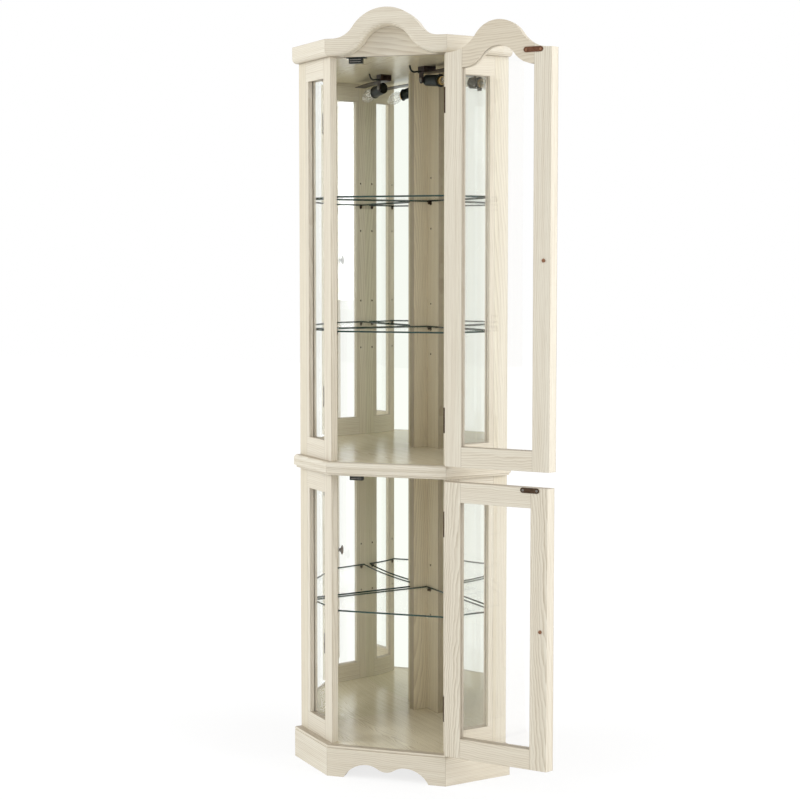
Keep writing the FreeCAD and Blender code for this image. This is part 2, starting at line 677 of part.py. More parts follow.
def make_door(level, z0, z1, arch_top, knob_z, strike_z, opened):
    """One door, turned to where it stands open."""
    parts = door_parts(z0, z1, arch_top)
    grip, shank = knob(z0 + knob_z)
    plate, holes = strike(strike_z)
    leaves = [leaf(z0 + HINGE_END, True), leaf(z1 - HINGE_END, True)]
    for z in (z0 + HINGE_END, z1 - HINGE_END):
        parts["hinge_stile"] = parts["hinge_stile"].cut(leaf_pocket(z, -1))
    parts["latch_stile"] = parts["latch_stile"].cut(shank)
    for hole in holes:
        parts["latch_stile"] = parts["latch_stile"].cut(hole)
        parts["top_rail"] = parts["top_rail"].cut(hole)
    parts.update({"knob": grip, "strike": plate, "hinge_leaves": leaves})
    for name, shape in parts.items():
        pieces = shape if isinstance(shape, list) else [shape]
        save("%s_%s" % (level, name), [turned(p, opened, PIN_AXIS) for p in pieces])


# ---- hinges --------------------------------------------------------------------------
def leaf_frame(shape, side):
    """From (into the joint, across it, up) about the pin to the shut door's corner."""
    out = turned(shape, 90.0 + 22.5)
    if side < 0:
        out = turned(shape.mirror(V(0, 0, 0), V(0, 1, 0)), 90.0 + 22.5)
    out.translate(PIN_AXIS)
    return out


def leaf_plate(z, grow):
    """Flat of a leaf, let into the wood; the carcass's leaf lies at negative y."""
    near = 0.5 * DOOR_GAP * math.cos(math.radians(22.5))
    return box(0, KNUCKLE_OUT + LEAF_W + grow, -near - LEAF_T - grow, -near + 0.5 * grow,
               z - HINGE_H / 2 - grow, z + HINGE_H / 2 + grow)


def leaf_pocket(z, side):
    return leaf_frame(leaf_plate(z, 0.1), side)


def leaf(z, on_door):
    """Hinge leaf with its knuckles: the middle one on the door, two on the carcass."""
    third = HINGE_H / 3.0
    low = z - HINGE_H / 2
    near = 0.5 * DOOR_GAP * math.cos(math.radians(22.5))
    plate = leaf_plate(z, 0.0).cut(rod(KNUCKLE_R + KNUCKLE_SLIT, HINGE_H, V(0, 0, low), V(0, 0, 1)))
    spans = [(1, 2)] if on_door else [(0, 1), (2, 3)]
    for a, b in spans:
        z_a, z_b = low + a * third, low + b * third
        slit_a = KNUCKLE_SLIT / 2 if a > 0 else 0.0
        slit_b = KNUCKLE_SLIT / 2 if b < 3 else 0.0
        height = z_b - z_a - slit_a - slit_b
        knuckle = rod(KNUCKLE_R, height, V(0, 0, z_a + slit_a), V(0, 0, 1))
        tie = box(0, KNUCKLE_R + 1.0, -near - LEAF_T, -near, z_a + slit_a, z_a + slit_a + height)
        plate = plate.fuse(tie).fuse(knuckle)
    plate = plate.cut(rod(HINGE_PIN_BORE, HINGE_H, V(0, 0, low), V(0, 0, 1)))
    return leaf_frame(plate.removeSplitter(), -1 if on_door else 1)


def hinge_pin(z):
    """Pin with a flat head at each end."""
    low = z - HINGE_H / 2
    pin = rod(HINGE_PIN_R, HINGE_H, V(0, 0, low), V(0, 0, 1))
    for end, way in ((low, -1), (low + HINGE_H, 1)):
        pin = pin.fuse(rod(KNUCKLE_R - 0.2, 1.2, V(0, 0, end), V(0, 0, way)))
    pin = pin.removeSplitter()
    pin.translate(PIN_AXIS)
    return pin


def hinge_levels():
    doors = ((FLOOR_Z + DOOR_CLEAR, WAIST_Z - DOOR_CLEAR), (DECK_Z + DOOR_CLEAR, CROWN_Z - ARCH_GAP))
    return [z for z0, z1 in doors for z in (z0 + HINGE_END, z1 - HINGE_END)]


def make_hinges():
    levels = hinge_levels()
    save("hinge_jamb_leaves", [leaf(z, False) for z in levels])
    save("hinge_pins", [hinge_pin(z) for z in levels])


# ---- magnetic catches ----------------------------------------------------------------
def catch(top):
    """Housing with two steel pole strips, hung from a flange under the board above."""
    width, depth, height = CATCH
    f_width, f_depth, f_thick = CATCH_FLANGE
    face = FRONT_Y + FRAME_T + STRIKE[2] + CATCH_PLAY
    flange = box(CATCH_X - f_width / 2, CATCH_X + f_width / 2,
                 face + 2.0, face + 2.0 + f_depth, top - f_thick, top)
    bottom = top - f_thick - height
    body = box(CATCH_X - width / 2, CATCH_X + width / 2,
               face + POLE_OUT, face + depth, bottom, top - f_thick)
    for z in (bottom + 0.3 * height, bottom + 0.7 * height):
        strip = box(CATCH_X - POLE_L / 2, CATCH_X + POLE_L / 2,
                    face, face + POLE_OUT, z - POLE_T / 2, z + POLE_T / 2)
        body = body.fuse(strip)
    return body.fuse(flange).removeSplitter()


def catch_middle(top):
    return top - CATCH_FLANGE[2] - CATCH[2] / 2.0


# ---- lamp ----------------------------------------------------------------------------
def lamp_place(shape, tilt=0.0):
    """From (along the lamp, across it, up) about the pivot to its place under the ceiling."""
    out = shape.copy()
    out.rotate(V(0, 0, 0), V(0, 1, 0), tilt)
    out.rotate(V(0, 0, 0), V(0, 0, 1), LAMP_HEADING)
    out.translate(V(LAMP_X, LAMP_Y, CROWN_Z - LAMP_DROP))
    return out


def make_lamp():
    """Bracket with its heat shield, and the socket and bulb that tilt on it."""
    along, across, tall = LAMP_BASE
    base = box(-along / 2, along / 2, -across / 2, across / 2, LAMP_DROP - tall, LAMP_DROP)
    length, width, thick = SHIELD
    under = LAMP_DROP - tall
    shield = box(0, length, -width / 2, width / 2, under, under + thick)
    ear_y = -SOCKET_R - EAR_OUT
    lug_y = ear_y - EAR_PLAY
    lug = box(-LUG_W / 2, LUG_W / 2, lug_y - BRACKET_T, lug_y, 0, under)
    lug = lug.fuse(rod(LUG_W / 2, BRACKET_T, V(0, lug_y - BRACKET_T, 0), V(0, 1, 0)))
    bore = rod(SCREW_R + PIVOT_PLAY, 4 * SOCKET_R, V(0, -2 * SOCKET_R, 0), V(0, 1, 0))
    bracket = base.fuse(shield).fuse(lug).removeSplitter().cut(bore)
    save("lamp_bracket", lamp_place(bracket))

    mouth_x = SOCKET_AHEAD + SOCKET_L
    shell = rod(SOCKET_R, SOCKET_L, V(SOCKET_AHEAD, 0, 0), V(1, 0, 0))
    shell = shell.fuse(rod(SOCKET_R + 1.5, 4.0, V(mouth_x - 4.0, 0, 0), V(1, 0, 0)))
    cap_x = mouth_x + CAP_SHOWN - CAP_L
    mouth = rod(CAP_R + 0.2, CAP_L, V(cap_x, 0, 0), V(1, 0, 0))
    ear_h = 0.5 * LUG_W - 2.0
    ear = box(-ear_h, SOCKET_AHEAD + ear_h, ear_y, ear_y + TONGUE_T, -ear_h, ear_h)
    shell = shell.fuse(ear).removeSplitter().cut(mouth).cut(bore)
    save("lamp_socket", lamp_place(shell, LAMP_TILT))

    cap = rod(CAP_R, CAP_L, V(cap_x, 0, 0), V(1, 0, 0))
    save("bulb_cap", lamp_place(cap, LAMP_TILT))
    save("lamp_bulb", lamp_place(bulb_glass(cap_x + CAP_L), LAMP_TILT))

    back = lug_y - BRACKET_T
    screw = rod(SCREW_R, ear_y + TONGUE_T - back, V(0, back, 0), V(0, 1, 0))
    screw = screw.fuse(rod(PIVOT_HEAD_R, 2.0, V(0, back, 0), V(0, -1, 0)))
    save("lamp_pivot_screw", lamp_place(screw.removeSplitter()))


def bulb_glass(start):
    """Candle bulb as one solid: two arcs that meet at the widest place, and a pointed end."""
    def bow(x, r):
        """Middle of an arc from the widest place to (x, r)."""
        run_x, drop = x - wide_x, BULB_R - r
        radius = (run_x ** 2 + drop ** 2) / (2.0 * drop)
        half = math.asin(run_x / radius) / 2.0
        return V(wide_x + radius * math.sin(half), BULB_R - radius * (1.0 - math.cos(half)), 0)

    end = start + BULB_L
    wide_x = start + 0.38 * BULB_L
    widest = V(wide_x, BULB_R, 0)
    neck, tip = V(start, BULB_NECK_R, 0), V(end, BULB_TIP_R, 0)
    centre = V(end, 0, 0)
    edges = [Part.makeLine(V(start, 0, 0), neck),
             Part.Arc(neck, bow(start, BULB_NECK_R), widest).toShape(),
             Part.Arc(widest, bow(end, BULB_TIP_R), tip).toShape(),
             Part.makeLine(tip, centre), Part.makeLine(centre, V(start, 0, 0))]
    return Part.Face(Part.Wire(edges)).revolve(V(0, 0, 0), V(1, 0, 0), 360)


# Route of the lamp's lead, from the bracket to its hole in the ceiling: along, across, up
LEAD_ROUTE = [(-4.0, -17.1, 20.0), (-4.0, -26.0, 20.0), (-3.6, -36.5, 17.5), (-3.3, -44.5, 21.5),
              (-3.0, -48.6, 32.0), (-3.0, -48.6, 46.0)]


def lead_hole():
    x, y, _ = LEAD_ROUTE[-1]
    return lamp_place(rod(LEAD_R + 0.8, BOARD_T + 2.0, V(x, y, LAMP_DROP - 1.0), V(0, 0, 1)))


def make_lead():
    """Tube of straight runs joined by tangent arcs."""
    points = [V(*p) for p in LEAD_ROUTE]
    edges, at = [], points[0]
    for before, corner, after in zip(points, points[1:], points[2:]):
        a, b = (before - corner), (after - corner)
        turn = math.pi - a.getAngle(b)
        radius = 0.45 * min(a.Length, b.Length) / math.tan(turn / 2)
        cut = radius * math.tan(turn / 2)
        a, b = a.normalize(), b.normalize()
        start, end = corner + a * cut, corner + b * cut
        mid = corner + (a + b).normalize() * (radius / math.cos(turn / 2) - radius)
        edges += [Part.makeLine(at, start), Part.Arc(start, mid, end).toShape()]
        at = end
        print("lead radius %.1f" % radius)
    edges.append(Part.makeLine(at, points[-1]))
    path = Part.Wire(edges)
    first = points[1] - points[0]
    ring = Part.Wire(Part.makeCircle(LEAD_R, points[0], first))
    tube = path.makePipeShell([ring], True, False)
    print("lead volume %.1f of %.1f" % (tube.Volume, math.pi * LEAD_R ** 2 * path.Length))
    save("lamp_lead", lamp_place(tube))


# ---- the whole cabinet ---------------------------------------------------------------
def make_all():
    os.makedirs("parts", exist_ok=True)
    make_plinth()
    make_walls("lower", FLOOR_Z, WAIST_Z)
    make_walls("upper", DECK_Z, CROWN_Z)
    make_boards()
    make_waist()
    make_crown()
    make_shelves()
    make_door("lower", FLOOR_Z + DOOR_CLEAR, WAIST_Z - DOOR_CLEAR, False,
              LOWER_KNOB, catch_middle(WAIST_Z), LOWER_OPEN)
    make_door("upper", DECK_Z + DOOR_CLEAR, CROWN_Z - ARCH_GAP, True,
              UPPER_KNOB, catch_middle(CROWN_Z), UPPER_OPEN)
    make_hinges()
    save("magnetic_catches", [catch(WAIST_Z), catch(CROWN_Z)])
    make_lamp()
    make_lead()


make_all()
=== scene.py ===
"""Finishes, lamp details and studio for the corner curio cabinet (metres, the model's frame)."""
import bpy
import json
import math
import numpy as np
from mathutils import Euler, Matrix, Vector


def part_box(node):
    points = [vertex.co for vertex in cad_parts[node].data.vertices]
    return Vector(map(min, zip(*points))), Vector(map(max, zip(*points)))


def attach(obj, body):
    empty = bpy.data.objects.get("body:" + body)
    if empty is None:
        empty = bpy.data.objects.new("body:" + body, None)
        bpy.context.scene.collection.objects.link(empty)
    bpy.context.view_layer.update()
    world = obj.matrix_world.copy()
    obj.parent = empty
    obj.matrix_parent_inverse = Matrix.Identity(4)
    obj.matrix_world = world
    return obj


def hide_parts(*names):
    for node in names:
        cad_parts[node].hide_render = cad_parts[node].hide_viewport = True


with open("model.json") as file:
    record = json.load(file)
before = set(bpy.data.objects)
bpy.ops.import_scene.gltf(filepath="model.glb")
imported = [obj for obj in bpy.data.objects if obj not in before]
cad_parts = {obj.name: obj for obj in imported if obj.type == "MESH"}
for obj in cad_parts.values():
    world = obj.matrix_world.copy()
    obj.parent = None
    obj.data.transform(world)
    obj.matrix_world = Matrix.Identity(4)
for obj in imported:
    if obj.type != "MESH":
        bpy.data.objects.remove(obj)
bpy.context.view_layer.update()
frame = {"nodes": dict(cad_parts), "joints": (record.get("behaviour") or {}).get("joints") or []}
nodes = frame["nodes"]
joints = {joint["name"]: joint for joint in frame["joints"]}

# ---- places and sizes, as in the model -----------------------------------------------
SIDE_TURN = math.radians(45.0)        # direction of the right side in plan
HINGE_PIN = Vector(joints["upper_door_hinge"]["pos_m"])
UPPER_OPEN = math.radians(170.0)      # how far each door stands open
LOWER_OPEN = math.radians(168.5)
DOORS = (("upper", UPPER_OPEN), ("lower", LOWER_OPEN))
FRONT_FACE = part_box("pediment_backer")[0][1]      # depth of the shut doors' outer faces
BOARD = 0.020                         # thickness of the doors and side frames
DOOR_FACE = FRONT_FACE + BOARD        # inner face of a shut door
SIDE_STILE, SIDE_RAIL = 0.038, 0.047  # widths in a side frame
CATCH_STRIP_BACK = DOOR_FACE + 0.0024      # back of the catches' steel strips
STRIKE_FACE = 0.0012                  # strike plate's outer face, over the door's inner face
STRIKE_SCREWS = (-0.102, -0.068)      # across the shut door
STRIKE_SCREW_RADIUS = 0.0029
STRIKE_SCREW_DOME = 0.0005
KNOB_SCREW_FACE = 0.0016              # flat end of the knob's screw, over the door's inner face
KNOB_SCREW_RADIUS = 0.0040
KNOB_SCREW_DOME = 0.0008
MIRROR_NEAR, MIRROR_FAR = 0.045, 0.3476      # each mirror's ends, from the back corner
MIRROR_MIDDLE = 0.5 * (MIRROR_NEAR + MIRROR_FAR)

LAMP_PIVOT = Vector(joints["lamp_tilt"]["pos_m"])
LAMP_HEADING = math.radians(-41.0)
LAMP_TILT = math.radians(6.0)
PIVOT_HEAD = (0.0, -0.0191, 0.0)      # outer face of the pivot screw's head, about the pivot
PIVOT_HEAD_RADIUS = 0.006
PIVOT_HEAD_DOME = 0.0012
BULB_START = 0.069                    # pivot to the bulb's neck, along the socket
BULB_LENGTH = 0.087
BULB_RADIUS = 0.0165
BULB_NECK = 0.0088

# ---- sizes of what is made here ------------------------------------------------------
BULB_WIDEST = 0.38                    # where the bulb is widest, as a share of its length
BULB_TIP = 0.0011                     # least radius
BULB_FALL = (2.2, 0.72)               # powers of the curve from the widest place to the tip
GLASS_WALL = 0.0008
STEM_LENGTH, STEM_RADIUS = 0.030, 0.0052
STEM_TAPER = (0.62, 0.6)              # share lost on the way to its tip, and the curve's power
WIRE_START, WIRE_LENGTH = 0.028, 0.020
WIRE_REACH, WIRE_CURVE = 0.0075, 1.4  # how far out a support wire ends, and its curve's power
WIRE_THICKNESS = 0.00028
FILAMENT_START, FILAMENT_ARCH = 0.048, 0.0040
FILAMENT_THICKNESS = 0.00016
COIL_RADIUS, COIL_TURNS = 0.0006, 26
SCREW_FOOT = 0.0002                   # how far a head's foot reaches below its face
SLOT_HALF, SLOT_REACH = 0.13, 0.62    # cross recess, as shares of the head's radius
SLOT_SIDE, SLOT_END = 0.04, 0.05      # softness of its sides and ends, likewise
SLOT_DEPTH = 0.75                     # as a share of the dome
SIDEWAYS = (0.31, 0.17, 0.93)         # any direction that no wire runs in

# ---- how surfaces look ---------------------------------------------------------------
SEAM = 0.0006                         # width of the dark line along a board's edges: partly the joint's own line, partly painted shade of the rounded edge
SEAM_CORE = 0.2                       # share of it that is fully dark
SEAM_DEPTH = 0.55
OAK_RELIEF = 0.00025
MIRROR_BEND = 1.6                     # radius of the bow in the mirrors' sheen
WEAR_SCALE = 220.0                    # of the patches on metal and mouldings
WEAR_LIGHTER, WEAR_LIFT = 1.7, 0.01   # how the colour changes in them
WEAR_GLOSS = 0.2                      # and the roughness
WEAR_RELIEF = 0.00005
PATCHES = (0.35, 0.75)                # range of a noise that makes soft patches
THREADS = (0.45, 0.80)                # and of one that makes thin lines

# scales of the noises in oak, across, through and along the trunk
WANDER_SCALE = (9.0, 9.0, 1.5)
RIPPLE_SCALE = (38.0, 38.0, 24.0)
STREAK_SCALE = (150.0, 150.0, 2.2)
FINE_SCALE = (420.0, 420.0, 6.0)
FIBRE_SCALE = (1300.0, 1300.0, 26.0)
PORE_SCALE = (950.0, 950.0, 20.0)
WANDER, RIPPLE = 0.050, 0.012         # how far they move the rings
LEAN = 0.045                          # of the pith, per metre of trunk
RINGS = 260.0                         # per metre
RING_RISE = 1.8                       # power of the tone's rise through a ring
RING_END = 0.86                       # where in a ring its late wood starts to end
PORES_LATE, PORES_ALL = 0.7, 0.12     # share of pores that follows late wood, and the rest
RINGS_IN_STREAK, RINGS_ALL = 0.50, 0.25
STREAK_RANGE = (0.25, 0.70)
PORE_RANGE = (0.60, 0.70)
RINGS_BY_FIGURE, RINGS_PLAIN = 0.9, 0.8
FINE_SHARE, FIBRE_SHARE, STREAK_SHARE = 0.30, 0.12, 0.40
GRAIN_DEPTH, PORE_DEPTH = 0.80, 0.55
PORE_HOLLOW, FIBRE_RELIEF = -0.9, 0.35

# where a board lies in its trunk
PITH_ASIDE, PITH_BEHIND = 0.025, 0.022
PITH_SWAY, PITH_DRIFT = 0.5, 0.010    # how much either changes from board to board
TRUNK = 3.0                           # boards lie within this distance along it
SHADE_RANGE = (0.0, 0.35)

# ---- colours, linear -----------------------------------------------------------------
OAK_PALE = (0.800, 0.745, 0.625, 1)
OAK_DEEP = (0.715, 0.640, 0.510, 1)
# painted warm shade, for the boards inside the cabinet
OAK_SHADE_WARM = (0.740, 0.660, 0.440, 1)
OAK_GRAIN = (0.470, 0.385, 0.270, 1)
OAK_PORE = (0.400, 0.315, 0.215, 1)
# dark line along a board's edges, partly the joints and partly painted shade of rounded edges; also
# the specks in the painted bore shade
OAK_SEAM_SHADE = (0.230, 0.165, 0.100, 1)
# painted shade inside the support holes
OAK_BORE_SHADE = (0.055, 0.036, 0.022, 1)
BOARD_BROWN = (0.300, 0.200, 0.110, 1)
BOARD_FLECK = (0.460, 0.330, 0.200, 1)
BRONZE = (0.060, 0.038, 0.024, 1)
LAMP_BROWN = (0.022, 0.010, 0.008, 1)
COPPER = (0.240, 0.125, 0.075, 1)
AGED_COPPER = (0.125, 0.058, 0.034, 1)
DULL_STEEL = (0.170, 0.160, 0.145, 1)
WIRE_STEEL = (0.45, 0.42, 0.38, 1)
TUNGSTEN = (0.42, 0.30, 0.16, 1)
BRASS = (0.620, 0.400, 0.150, 1)
SOCKET_BLACK = (0.009, 0.013, 0.012, 1)
EDGE_GREEN = (0.008, 0.028, 0.021, 1)
EDGE_PALE = (0.022, 0.062, 0.048, 1)
PANE_CLEAR = (0.985, 0.995, 0.99, 1)
BULB_CLEAR = (0.99, 0.985, 0.96, 1)
MIRROR_TINT = (0.975, 0.990, 0.955, 1)
MIRROR_HAZE = (0.960, 0.980, 0.935, 1)
FLOOR_PALE = (0.90, 0.90, 0.89, 1)
STUDIO_WHITE = (1, 1, 1, 1)


# ---- shader helpers ------------------------------------------------------------------
def add(tree, kind, values=None, **settings):
    """New shader node; values sets or links its inputs by name or number."""
    made = tree.nodes.new("ShaderNode" + kind)
    for key, value in settings.items():
        setattr(made, key, value)
    for key, value in (values or {}).items():
        if isinstance(value, bpy.types.NodeSocket):
            tree.links.new(value, made.inputs[key])
        else:
            made.inputs[key].default_value = value
    return made


def math_node(tree, operation, a, b=0.0, c=0.0):
    return add(tree, "Math", {0: a, 1: b, 2: c}, operation=operation).outputs[0]


def times(tree, a, b):
    return math_node(tree, "MULTIPLY", a, b)


def times_plus(tree, a, b, c):
    """a times b, plus c."""
    return math_node(tree, "MULTIPLY_ADD", a, b, c)


def blend_colours(tree, factor, a, b):
    return add(tree, "Mix", {0: factor, 6: a, 7: b}, data_type="RGBA").outputs[2]


def stretched(tree, vector, scale):
    return add(tree, "VectorMath", {0: vector, 1: scale}, operation="MULTIPLY").outputs[0]


def noise(tree, vector, scale, detail=2.0, roughness=0.5):
    return add(tree, "TexNoise", {"Vector": vector, "Scale": scale, "Detail": detail,
                                  "Roughness": roughness}).outputs["Fac"]


def spread(tree, value, low, high):
    """Value stretched so that low becomes 0 and high becomes 1."""
    return add(tree, "MapRange", {"Value": value, "From Min": low, "From Max": high}).outputs[0]


def new_material(name, **sockets):
    """Principled material, its plain sockets set by name."""
    made = bpy.data.materials.new(name)
    made.use_nodes = True
    shader = made.node_tree.nodes["Principled BSDF"]
    for key, value in sockets.items():
        shader.inputs[key.replace("_", " ")].default_value = value
    return made, made.node_tree, shader


def object_point(tree):
    return add(tree, "TexCoord").outputs["Object"]


def coloured(tree, shader, colour):
    tree.links.new(colour, shader.inputs["Base Color"])


def bumped(tree, shader, height, depth, strength=1.0):
    made = add(tree, "Bump", {"Strength": strength, "Distance": depth, "Height": height})
    tree.links.new(made.outputs[0], shader.inputs["Normal"])


# ---- finishes laid on the model's faces ----------------------------------------------
def finish_node(name, material):
    data = nodes[name].data
    data.materials.clear()
    data.materials.append(material)


def second_finish(name, material, chosen):
    """Another finish on some of a node's faces, given as an array of true and false."""
    mesh = nodes[name].data
    index = np.empty(len(mesh.polygons), dtype=np.int32)
    mesh.polygons.foreach_get("material_index", index)
    mesh.materials.append(material)
    index[chosen] = len(mesh.materials) - 1
    mesh.polygons.foreach_set("material_index", index)


def triangles(name):
    """Corners of a node's triangles, shape (triangles, 3, 3)."""
    mesh = nodes[name].data
    points = np.empty(3 * len(mesh.vertices))
    corners = np.empty(len(mesh.loops), dtype=np.int32)
    mesh.vertices.foreach_get("co", points)
    mesh.loops.foreach_get("vertex_index", corners)
    return points.reshape(-1, 3)[corners].reshape(-1, 3, 3)


def normals(shapes):
    """Normals of triangles, each twice as long as its triangle's area."""
    return np.cross(shapes[:, 1] - shapes[:, 0], shapes[:, 2] - shapes[:, 0])


def turned_back(points, turn):
    """Points turned back about the vertical by a board's direction in plan."""
    c, s = math.cos(turn), math.sin(turn)
    x, y, z = points[..., 0], points[..., 1], points[..., 2]
    return np.stack([c * x + s * y, c * y - s * x, z], axis=-1)


def shut(points, opened):
    """Points of an open door, put where they are with the door shut."""
    pin = np.array(HINGE_PIN)
    return turned_back(points - pin, opened) + pin


def opened_up(points, opened):
    """Points of a shut door, put where they are with the door open."""
    return shut(points, -opened)


# ---- whitewashed oak -----------------------------------------------------------------
def oak_grain_group():
    """Oak whose trunk runs along Z: growth rings round a wavering pith, soft streaks, fibres
    and open pores.  Figure is how far the rings waver and how plainly they show; Shade is how
    deep the board's tone is, and Warmth how yellow."""
    group = bpy.data.node_groups.new("oak_grain", "ShaderNodeTree")
    for name, kind in (("Point", "Vector"), ("Figure", "Float"), ("Shade", "Float"),
                       ("Warmth", "Float")):
        group.interface.new_socket(name, in_out="INPUT", socket_type="NodeSocket" + kind)
    group.interface.new_socket("Color", in_out="OUTPUT", socket_type="NodeSocketColor")
    group.interface.new_socket("Height", in_out="OUTPUT", socket_type="NodeSocketFloat")
    entry, leave = group.nodes.new("NodeGroupInput"), group.nodes.new("NodeGroupOutput")
    point, figure, shade, warmth = entry.outputs[:4]

    def grain_noise(scale, detail=2.0, roughness=0.5):
        return noise(group, stretched(group, point, scale), 1.0, detail, roughness)

    across, depth, along = add(group, "SeparateXYZ", {0: point}).outputs
    wandered = times_plus(group, grain_noise(WANDER_SCALE), WANDER, across)
    ripple = times(group, grain_noise(RIPPLE_SCALE), figure)
    waved = times_plus(group, ripple, RIPPLE, wandered)
    leaning = times_plus(group, along, LEAN, depth)
    square = times_plus(group, leaning, leaning, times(group, waved, waved))
    radius = math_node(group, "SQRT", square)
    ring = math_node(group, "FRACT", times(group, radius, RINGS))
    rise = math_node(group, "POWER", ring, RING_RISE)
    late = times(group, rise, spread(group, ring, 1.0, RING_END))

    streak = grain_noise(STREAK_SCALE)
    fine = grain_noise(FINE_SCALE)
    fibre = grain_noise(FIBRE_SCALE, roughness=0.6)
    pores = spread(group, grain_noise(PORE_SCALE, detail=1.0), *PORE_RANGE)
    pores = times(group, pores, times_plus(group, late, PORES_LATE, PORES_ALL))

    shown = spread(group, streak, *STREAK_RANGE)
    streaked = times_plus(group, shown, RINGS_IN_STREAK, RINGS_ALL)
    rings = times(group, late, streaked)
    plain = times(group, rings, times_plus(group, figure, RINGS_BY_FIGURE, RINGS_PLAIN))
    lines = times_plus(group, spread(group, fine, *THREADS), FINE_SHARE, plain)
    tone = times_plus(group, spread(group, fibre, *THREADS), FIBRE_SHARE, lines)
    deep = times_plus(group, spread(group, streak, *PATCHES), STREAK_SHARE, shade)
    base = blend_colours(group, deep, OAK_PALE, OAK_DEEP)
    # Warmth paints the warm shade on the boards inside the cabinet
    base = blend_colours(group, warmth, base, OAK_SHADE_WARM)
    grained = blend_colours(group, times(group, tone, GRAIN_DEPTH), base, OAK_GRAIN)
    colour = blend_colours(group, times(group, pores, PORE_DEPTH), grained, OAK_PORE)
    height = times_plus(group, pores, PORE_HOLLOW, times(group, fibre, FIBRE_RELIEF))
    group.links.new(colour, leave.inputs[0])
    group.links.new(height, leave.inputs[1])
    return group


GRAIN = oak_grain_group()
BOARD_SHADE = {"upper_top_rail": 1.0}      # deeper boards; the others' tone is drawn from a seed
INSIDE_SHADE_WARMTH = {"upper_posts": 0.2, "lower_posts": 0.2,      # boards inside the cabinet, painted yellower for the warm shade in it
          "upper_back_stiles": 0.65, "lower_back_stiles": 0.65,
          "ceiling": 0.8, "lower_top": 0.6, "lower_floor": 0.6, "upper_floor": 0.6}


def oak(name, turn, lie, box, seed, figure, gloss, pith_off):
    """Oak for one board.  turn is its direction in plan, box its corners in its own directions,
    and lie says which of them (along, depth, height) are the grain's across, depth and length.
    pith_off is how far the trunk's middle lies to the side: far off, the rings run straight."""
    made, tree, shader = new_material("oak_" + name, Roughness=gloss)
    rng = np.random.default_rng(seed)
    pith = rng.uniform(-1.0, 1.0, 3)
    board = add(tree, "VectorRotate", {"Vector": object_point(tree), "Angle": -turn},
                rotation_type="Z_AXIS")
    parts = add(tree, "SeparateXYZ", {0: board.outputs[0]}).outputs
    middle = 0.5 * (box[0] + box[1])
    offset = (-middle[lie[0]] - PITH_ASIDE + pith_off * (1.0 + PITH_SWAY * pith[0]),
              -middle[lie[1]] + PITH_BEHIND + PITH_DRIFT * pith[1], TRUNK * pith[2])
    vector = add(tree, "CombineXYZ", {0: parts[lie[0]], 1: parts[lie[1]], 2: parts[lie[2]]})
    placed = add(tree, "VectorMath", {0: vector.outputs[0], 1: offset}, operation="ADD")
    grain = tree.nodes.new("ShaderNodeGroup")
    grain.node_tree = GRAIN
    tree.links.new(placed.outputs[0], grain.inputs["Point"])
    node = name.replace("_right", "").replace("_left", "")
    grain.inputs["Figure"].default_value = figure
    grain.inputs["Shade"].default_value = BOARD_SHADE.get(name, float(rng.uniform(*SHADE_RANGE)))
    grain.inputs["Warmth"].default_value = INSIDE_SHADE_WARMTH.get(node, 0.0)

    def to_edge(axis):
        value = parts[axis]
        return math_node(tree, "MINIMUM",
                         math_node(tree, "SUBTRACT", value, float(box[0][axis])),
                         math_node(tree, "SUBTRACT", float(box[1][axis]), value))

    edge = math_node(tree, "MINIMUM", to_edge(lie[0]), to_edge(lie[2]))
    # dark line along the board's edges: partly its joint, partly painted shade of the rounded edge
    seam_shade = times(tree, spread(tree, edge, SEAM, SEAM_CORE * SEAM), SEAM_DEPTH)
    coloured(tree, shader, blend_colours(tree, seam_shade, grain.outputs["Color"], OAK_SEAM_SHADE))
    bumped(tree, shader, grain.outputs["Height"], OAK_RELIEF, strength=0.6)
    return made


def bore_shade_finish():
    """Raw oak with painted shade, for the walls of support holes and of other small faces deep in a
    board.
    """
    made, tree, shader = new_material("oak_bore", Roughness=0.85)
    speck = noise(tree, object_point(tree), scale=900.0)
    coloured(tree, shader, blend_colours(tree, speck, OAK_BORE_SHADE, OAK_SEAM_SHADE))
    return made


# painted shade for the walls of the support holes
BORE_SHADE = bore_shade_finish()
BORED = ["lower_posts", "upper_posts", "lower_back_stiles", "upper_back_stiles",
         "lower_left_frame", "lower_right_frame", "upper_left_frame", "upper_right_frame"]
BORE_FACE = 12e-6         # largest triangle on a bore's wall
BORE_DEPTH = 0.0008       # how far a bore's wall lies from the board's own faces
SEEDS_PER_NODE = 100

# how a board's grain lies in it
UPRIGHT, RAIL, FLAT = (0, 1, 2), (2, 1, 0), (1, 2, 0)

# how boards are sawn and how glossy they are; what one leaves out is as in lay_boards
STRAIGHT_STILES = {"figure": 0.35}
FIGURED_STILES = {"figure": 1.0, "pith_off": 0.035}
DOOR_RAILS = {"figure": 0.6, "pith_off": 0.09}
BACK_STILES = {"figure": 0.6, "pith_off": 0.06}
FRONTS = {"figure": 0.5, "pith_off": 0.10}
SIDES = {"figure": 0.4}
FLOORS = {"figure": 1.3, "gloss": 0.24, "pith_off": 0.02}


